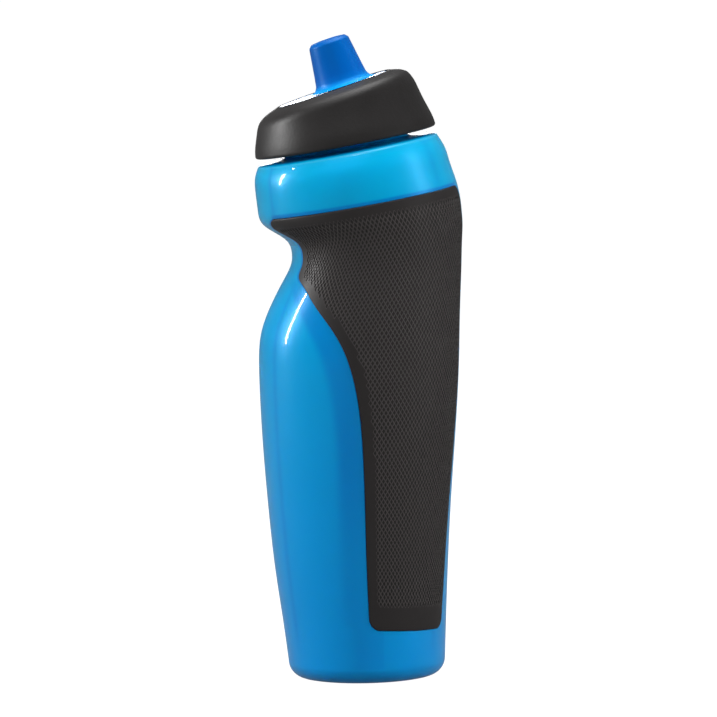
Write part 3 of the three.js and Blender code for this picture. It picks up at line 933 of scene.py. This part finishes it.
def makeThread(name, radius, height, turns, startTurn, place, material):
    ridge = smoothObject(name, [(0, 0, 0)], [], material)
    values = {
        "Turns": turns,
        "Radius": radius * mm,
        "Lead": threadSizes["lead"] * mm,
        "Width": 1.7 * mm,
        "Height": height * mm,
        "Plastic": material,
    }
    runTree(ridge, threads, values)
    ridge.data.polygons.foreach_set("use_smooth", [True] * len(ridge.data.polygons))
    lift = Matrix.Translation((0, 0, threadSizes["first"] * mm))
    turn = Matrix.Rotation(2 * math.pi * startTurn, 4, "Z")
    ridge.data.transform(scaledPlace(place) @ lift @ turn)
    return ridge


threads = threadTree()
ringOfCopies = ringOfCopiesTree()

bottleBody = makeBottle()
neckThread = makeThread(
    "neckThread", 23.4, 2.0, threadSizes["neckTurns"], 0, neckFrame, bottlePlastic
)
bottleBody = joinPieces("bottleBody", [bottleBody, neckThread])
finishPiece(bottleBody, "bottle", "bottle_blue", "bottle_body")
print("bottle made")


# The grips.
def gripOutline(inset):  # the panel's edge in (arc, height), drawn in by inset
    low, high = gripSizes["bottom"] + inset, gripSizes["top"] - inset
    ease = 4.5 * (1 - np.cos(np.linspace(0, math.pi / 2, 14)))
    whole = gripSizes["top"] - gripSizes["bottom"]
    share = np.concatenate([ease, np.arange(5.7, whole - 5.1, 1.2), whole - ease[::-1]]) / whole
    heights = low + (high - low) * share
    back, front, _ = gripEdges(heights, -inset)
    frontSide = np.stack([front * arcRadius, heights], axis=1)
    backSide = np.stack([back * arcRadius, heights], axis=1)[::-1]

    def across(start, end, count):
        return start + (end - start) * np.linspace(0, 1, count + 2)[1:-1, None]

    top = across(frontSide[-1], backSide[0], 70)
    bottom = across(backSide[-1], frontSide[0], 30)
    return np.concatenate([frontSide, top, backSide, bottom])


arcRadius = 36.0  # turns an angle into a length on the skin
gripEdgeLoops = [  # inset from the edge, height over the panel's face
    (0, -0.55), (0.06, -0.28), (0.18, -0.1), (0.34, -0.03), (0.55, 0),
]


def pointInside(outline, points):  # which points lie inside a closed outline
    inside = np.zeros(len(points), bool)
    x, y = points[:, 0], points[:, 1]
    for (x0, y0), (x1, y1) in zip(outline, np.roll(outline, -1, axis=0)):
        crosses = (y0 > y) != (y1 > y)
        if y1 == y0:
            continue
        inside ^= crosses & (x < x0 + (y - y0) * (x1 - x0) / (y1 - y0))
    return inside


def makeGrip(name, side):
    loops = [(gripOutline(inset), rise) for inset, rise in gripEdgeLoops]
    inner = loops[-1][0]
    wide, tall = gripSizes["cellWide"] / 2, gripSizes["cellTall"] / 2
    columns = np.arange(int(100 / wide))
    rows = np.arange(int(175 / tall))
    grid = [(c, r) for r in rows for c in columns if (c + r) % 2 == 0]
    spots = np.array([(c * wide, 14 + r * tall) for c, r in grid])
    keep = pointInside(gripOutline(1.0), spots)
    grid = [cell for cell, kept in zip(grid, keep) if kept]
    spots = spots[keep]

    back, front, _ = gripEdges(spots[:, 1])
    plain = (
        (spots[:, 0] < front * arcRadius - gripSizes["plainFront"])
        & (spots[:, 0] > back * arcRadius + gripSizes["plainBack"])
        & (spots[:, 1] > gripSizes["bottom"] + gripSizes["plainBottom"])
        & (spots[:, 1] < gripSizes["top"] - gripSizes["plainTop"])
    )
    textured = {cell for cell, ok in zip(grid, plain) if ok}

    flat = np.concatenate([inner, spots])
    loopEdges = [(i, (i + 1) % len(inner)) for i in range(len(inner))]
    points, _, faces, sources, _, _ = delaunay_2d_cdt(
        [Vector(p) for p in flat], loopEdges, [], 1, 1e-5
    )
    points = np.array([tuple(p) for p in points])
    gridOf = {}
    for i, source in enumerate(sources):
        if source and source[0] >= len(inner):
            gridOf[i] = grid[source[0] - len(inner)]

    surface = panelPoints(points, side, np.zeros(len(points)))
    work = bmesh.new()
    verts = [work.verts.new(p) for p in surface * mm]
    for face in faces:
        work.faces.new([verts[i] for i in face])
    work.verts.index_update()
    work.edges.ensure_lookup_table()
    spans = []
    for edge in work.edges:
        a, b = (gridOf.get(v.index) for v in edge.verts)
        if not a or not b or a[1] != b[1] or abs(a[0] - b[0]) != 2:
            continue
        middle = (a[0] + b[0]) // 2
        corners = {a, b, (middle, a[1] - 1), (middle, a[1] + 1)}
        if corners <= textured and len(edge.link_faces) == 2:
            spans.append(edge)
    cells = {tuple(sorted(v.index for f in e.link_faces for v in f.verts)) for e in spans}
    bmesh.ops.dissolve_edges(work, edges=spans, use_verts=False)
    mark = work.faces.layers.bool.new("cell")
    for face in work.faces:
        face[mark] = len(face.verts) == 4
    addGripSides(work, verts[: len(inner)], loops, side)
    bmesh.ops.recalc_face_normals(work, faces=work.faces)
    mesh = bpy.data.meshes.new(name)
    work.to_mesh(mesh)
    work.free()
    mesh.materials.append(rubberBlack)
    panel = bpy.data.objects.new(name, mesh)
    bpy.context.scene.collection.objects.link(panel)
    runTree(
        panel,
        gripCells,
        {
            "Opening": gripSizes["ridgeShare"],
            "Floor": gripSizes["floorShare"],
            "Depth": gripSizes["cellDepth"] * mm,
            "Rubber": rubberBlack,
        },
    )
    smooth = np.array([len(p.vertices) == 3 for p in panel.data.polygons])
    panel.data.polygons.foreach_set("use_smooth", smooth)
    print("  cells:", len(cells))
    return panel


def panelPoints(flat, side, rise):
    angle = flat[:, 0] / arcRadius * side
    return offSkin(slanted(flat[:, 1], angle), angle, gripSizes["out"] + rise)


def addGripSides(work, edgeVerts, loops, side):  # rounds the edge down and closes the underside
    count = len(edgeVerts)
    previous = edgeVerts
    under = gripSizes["under"] + gripSizes["out"]
    rings = [(loop, rise) for loop, rise in loops[-2::-1]] + [(loops[0][0], -under)]
    for loop, rise in rings:
        points = panelPoints(loop, side, np.full(count, rise)) * mm
        ring = [work.verts.new(p) for p in points]
        for i in range(count):
            j = (i + 1) % count
            work.faces.new([previous[i], previous[j], ring[j], ring[i]])
        previous = ring
    outline = rings[-1][0]
    low, high = outline.min(axis=0), outline.max(axis=0)
    across, up = np.meshgrid(np.arange(low[0], high[0], 3.5), np.arange(low[1], high[1], 3.5))
    spots = np.stack([across.ravel(), up.ravel()], axis=1)
    spots = spots[pointInside(gripOutline(1.6), spots)]
    flat = np.concatenate([outline, spots])
    edges = [(i, (i + 1) % count) for i in range(count)]
    _, _, faces, sources, _, _ = delaunay_2d_cdt([Vector(p) for p in flat], edges, [], 1, 1e-6)
    middle = panelPoints(spots, side, np.full(len(spots), -under)) * mm
    corners = previous + [work.verts.new(p) for p in middle]
    for face in faces:
        work.faces.new([corners[sources[i][0]] for i in face])


gripCells = texturedGripTree()
for gripName, side, node in (
    ("gripPanelLeft", -1, "grip_panel_left"),
    ("gripPanelRight", 1, "grip_panel_right"),
):
    finishPiece(makeGrip(gripName, side), "bottle", "grip_black", node)
print("grips made")


# The cap's shell.
capSizes = {
    "bottom": 2.7,
    "wall": 1.6,
    "rim": 22,
    "rimShift": -1,
    "topShift": -0.7,
    "crease": 1.6,  # how softly the side turns into the leaning top
    "columns": 160,
    "rows": 64,
}
capSideTable = [
    (0, 35), (2.7, 34.7), (5.6, 34.3), (9.8, 33.1), (13.6, 31.9), (18.5, 30.6),
    (21.2, 29.8), (23.8, 28.5), (25.7, 26.6), (27.5, 22),
]
capTopTable = [
    (15, 0.1), (21.2, 0), (23.5, -0.7), (26.5, -1.6), (29.2, -2.8), (31.4, -4.2), (33.4, -6.2),
    (35, -9.1), (36.4, -14), (37.4, -22),
]
readCapSide = splineThrough(capSideTable)
readCapTop = splineThrough(capTopTable)
rimInNeck = neckFrame.inverted() @ rimFrame


def capDistance(points):  # above 0 outside the cap; points in the neck frame
    radius = np.linalg.norm(points[..., :2], axis=-1)
    side = radius - readCapSide(np.clip(points[..., 2], 0, 27.5))[..., 0]
    leaning = placed(points.reshape(-1, 3), rimInNeck.inverted()).reshape(points.shape)
    leaning[..., 0] -= capSizes["topShift"]
    reach = np.linalg.norm(leaning[..., :2], axis=-1)
    top = leaning[..., 2] - readCapTop(np.clip(reach, 15, 37.4))[..., 0]
    soft = capSizes["crease"]
    blend = np.clip(soft - np.abs(side - top), 0, None)
    return np.maximum(side, top) + blend**2 / (4 * soft)


def capSurface(middle, ends):  # casts rays from a middle point to the cap's surface
    low, high = np.full(ends.shape[:-1], 0.3), np.full(ends.shape[:-1], 1.6)
    for _ in range(26):
        guess = (low + high) / 2
        outside = capDistance(middle + (ends - middle) * guess[..., None]) > 0
        high = np.where(outside, guess, high)
        low = np.where(outside, low, guess)
    return middle + (ends - middle) * ((low + high) / 2)[..., None]


def makeCapShell():
    columns, rows = capSizes["columns"], capSizes["rows"]
    angle = np.linspace(0, 2 * np.pi, columns, endpoint=False)
    circle = np.stack([np.cos(angle), np.sin(angle), 0 * angle], axis=-1)
    lip = capSizes["wall"] / 2
    bottom = circle * 34.5 + [0, 0, capSizes["bottom"] + lip]
    rimRing = circle * (capSizes["rim"] + lip) + [capSizes["rimShift"], 0, 0]
    rimRing = placed(rimRing, rimInNeck)
    middle = np.array([0, 0, 10.0])
    share = np.linspace(0, 1, rows)[:, None, None]
    corner = circle * 31.5 + [0, 0, 21.5]
    ends = (1 - share) ** 2 * bottom + 2 * share * (1 - share) * corner + share**2 * rimRing
    outer = capSurface(middle, ends)
    around = np.roll(outer, -1, axis=1) - np.roll(outer, 1, axis=1)
    up = np.gradient(outer, axis=0)
    normal = np.cross(around, up)
    normal /= np.linalg.norm(normal, axis=-1, keepdims=True)
    inner = outer - normal * capSizes["wall"]

    def lipRings(first, second, bulge):  # a half round between two edges
        rings = []
        for turn in np.linspace(0, math.pi, 9)[1:-1]:
            mid, half = (first + second) / 2, (first - second) / 2
            rings.append(mid + half * math.cos(turn) + bulge * math.sin(turn))
        return rings

    downward = np.array([0, 0, -lip])
    bulgeTop = up[-1] / np.linalg.norm(up[-1], axis=-1, keepdims=True) * lip
    rings = list(outer) + lipRings(outer[-1], inner[-1], bulgeTop)
    rings += list(inner[::-1]) + lipRings(inner[0], outer[0], downward)
    points = placed(np.array(rings).reshape(-1, 3), neckFrame)
    faces = loftFaces(len(rings), columns, None, None, closedRows=True)
    return fixNormals(smoothObject("capShell", points, faces, capPlastic))


finishPiece(makeCapShell(), "cap", "cap_black", "cap_shell")
print("cap shell made")


# The cap's blue core.
coreSizes = {
    "skirtOuter": 26,
    "skirtInner": 24.8,
    "bottom": 4.5,
    "flangeLow": 15.8,
    "flangeHigh": 17,
    "flangeHole": 14,
    "riserInner": 17.6,
    "riserOuter": 19.4,
    "dish": 21.6,
    "dishUnder": -3,
    "ribs": 12,
    "ribWidth": 1.2,
}


def makeDish():  # the leaning dish, with the post's hole off its centre
    outerX, holeX = capSizes["rimShift"], 3.1
    outline = [  # share of the way in from the edge to the hole, height
        (0, -3), (0, -0.95), (0.004, -0.7), (0.015, -0.56), (0.035, -0.5), (0.1, -0.52),
        (0.25, -0.6), (0.4, -0.68), (0.55, -0.7), (0.8, -0.7), (0.97, -0.7), (1, -0.9),
        (1, -2), (1, -2.8), (0.97, -3), (0.5, -3), (0.03, -3),
    ]
    angle = np.linspace(0, 2 * np.pi, 120, endpoint=False)
    rings = []
    for share, z in outline:
        r = coreSizes["dish"] * (1 - share) + 5.1 * share
        x = outerX * (1 - share) + holeX * share
        rings.append(np.stack([x + r * np.cos(angle), r * np.sin(angle), z + 0 * angle], axis=-1))
    points = placed(np.array(rings).reshape(-1, 3), rimFrame)
    faces = loftFaces(len(rings), len(angle), None, None, closedRows=True)
    return fixNormals(smoothObject("dish", points, faces, corePlastic))


def makeRiser():  # the wall from the flange up to the dish's underside
    angle = np.linspace(0, 2 * np.pi, 96, endpoint=False)
    rings = []
    for r, top in (
        (coreSizes["riserOuter"], False), (coreSizes["riserOuter"], True),
        (coreSizes["riserInner"], True), (coreSizes["riserInner"], False),
    ):
        ring = np.stack([r * np.cos(angle), r * np.sin(angle), 0 * angle + 16.2], axis=-1)
        if top:  # stops half a millimetre inside the dish
            lean = math.tan(math.radians(7.8))
            ring[:, 2] = 23.9 + ring[:, 0] * lean + (coreSizes["dishUnder"] + 0.5) * 1.01
        rings.append(ring)
    points = placed(np.array(rings).reshape(-1, 3), neckFrame)
    faces = loftFaces(4, len(angle), None, None, closedRows=True)
    return fixNormals(smoothObject("riser", points, faces, corePlastic))


def makeRibs():
    shape = [(25.8, 4.8), (32.1, 4.8), (31.3, 8), (29.6, 13.5), (25.8, 13.5)]
    half = coreSizes["ribWidth"] / 2
    points = [(r, -half, z) for r, z in shape] + [(r, half, z) for r, z in shape]
    count = len(shape)
    faces = [list(range(count))[::-1], list(range(count, 2 * count))]
    faces += [[i, (i + 1) % count, (i + 1) % count + count, i + count] for i in range(count)]
    rib = smoothObject("ribs", points, faces, corePlastic)
    rib.data.polygons.foreach_set("use_smooth", [False] * len(rib.data.polygons))
    fixNormals(rib)
    turn = Matrix.Rotation(math.pi / coreSizes["ribs"], 4, "Z")
    rib.data.transform(turn)
    runTree(rib, ringOfCopies, {"Count": coreSizes["ribs"], "Plastic": corePlastic})
    rib.data.transform(scaledPlace(neckFrame))
    return rib


def makeCore():
    inner, outer = coreSizes["skirtInner"], coreSizes["skirtOuter"]
    foot, hole = coreSizes["bottom"], coreSizes["flangeHole"]
    low, high = coreSizes["flangeLow"], coreSizes["flangeHigh"]
    outline = [
        (inner, foot, 0.3), (outer, foot, 0.3), (outer, low - 0.3, 0.4), (outer - 1.5, high, 0.3),
        (hole, high, 0.3), (hole, low, 0.3), (inner, low, 0.3),
    ]
    skirt = turnedPiece("skirt", outline, neckFrame, corePlastic)
    turns = threadSizes["coreTurns"]
    ridge = makeThread("coreThread", 24.65, 1.7, turns, 0.5, neckFrame, corePlastic)
    return joinPieces("capCore", [makeDish(), skirt, makeRiser(), makeRibs(), ridge])


finishPiece(makeCore(), "cap", "core_blue", "cap_core")

gasket = turnedPiece(
    "capGasket",
    [(21.5, 14.6, 0.25), (24.2, 14.6, 0.25), (24.2, 15.6, 0.25), (21.5, 15.6, 0.25)],
    neckFrame,
    sealRubber,
)
finishPiece(gasket, "cap_seal", "seal_grey", "cap_gasket")
print("cap core and gasket made")


# The spout.
spoutOutlines = {  # radius, height and corner radius on the spout's own axis
    "tower": [
        (3.6, -4.5, 0.3), (8.5, -4.5, 0.3), (8.5, -3.3, 0.3), (4.8, -3.3, 0.3), (4.8, 8.4, 0),
        (5.3, 8.8, 0.1), (5.3, 9.6, 0.1), (4.3, 9.6, 0.1), (4.3, 11.2, 0.1), (5, 11.2, 0.1),
        (5, 12.2, 0.2), (4.4, 13, 0.2), (3.6, 13, 0.2),
    ],
    "pin": [
        (0.01, 8, 0), (1.4, 9, 0.3), (1.4, 13, 0.5), (2.6, 14.2, 0.5), (2.6, 17.1, 0.2),
        (2.2, 17.5, 0.2), (0.01, 17.5, 0),
    ],
    "postRing": [(4.4, 9.95, 0.4), (5.4, 9.95, 0.4), (5.4, 10.85, 0.4), (4.4, 10.85, 0.4)],
    "spoutSlider": [
        (5, 1, 0.15), (8.1, 1, 0.25), (8.1, 2.1, 0.25), (6.4, 2.1, 0.3), (6.4, 16.4, 0.4),
        (2.9, 16.4, 0.15), (2.9, 15.2, 0.15), (5.5, 15.2, 0.5), (5.5, 2.4, 0.15), (5, 2.4, 0.15),
    ],
    "spoutSleeve": [
        (8.4, -0.35, 0.2), (13.3, -0.35, 0.12), (10.9, 0.4, 1.6), (9.95, 2, 3), (9.3, 6, 6),
        (8.45, 12, 6), (7.8, 16.5, 1.1), (6.6, 17.75, 1.2), (3.9, 18.05, 1.2), (2.9, 18.0, 0.3),
        (2.9, 16.55, 0.1), (6.55, 16.55, 0.3), (6.55, 2.4, 0.2), (8.4, 2.4, 0.2),
    ],
}


def spoutTurned(name, material, segments, steps=5):
    return turnedPiece(name, spoutOutlines[name], spoutFrame, material, segments, steps=steps)


def makePost():
    tower = spoutTurned("tower", postPlastic, 64)
    pin = spoutTurned("pin", postPlastic, 48)
    rib = smoothObject("spiderRib", boxPoints(0, 4, -0.5, 0.5, 9.5, 12.5), boxFaces, postPlastic)
    runTree(rib, ringOfCopies, {"Count": 3, "Plastic": postPlastic})
    rib.data.transform(scaledPlace(spoutFrame))
    fixNormals(rib)
    return joinPieces("nozzlePost", [tower, pin, rib])


def boxPoints(x0, x1, y0, y1, z0, z1):
    return [(x, y, z) for z in (z0, z1) for y in (y0, y1) for x in (x0, x1)]


boxFaces = [[0, 2, 3, 1], [4, 5, 7, 6], [0, 1, 5, 4], [2, 6, 7, 3], [0, 4, 6, 2], [1, 3, 7, 5]]

finishPiece(makePost(), "cap", "post_white", "nozzle_post")

ring = spoutTurned("postRing", sealRubber, 64)
finishPiece(ring, "cap", "seal_grey", "post_o_ring")
slider = spoutTurned("spoutSlider", postPlastic, 80)
finishPiece(slider, "spout", "slider_white", "spout_slider")
sleeve = spoutTurned("spoutSleeve", sleeveRubber, 96, steps=7)
finishPiece(sleeve, "spout", "spout_blue", "spout_sleeve")
print("spout made")
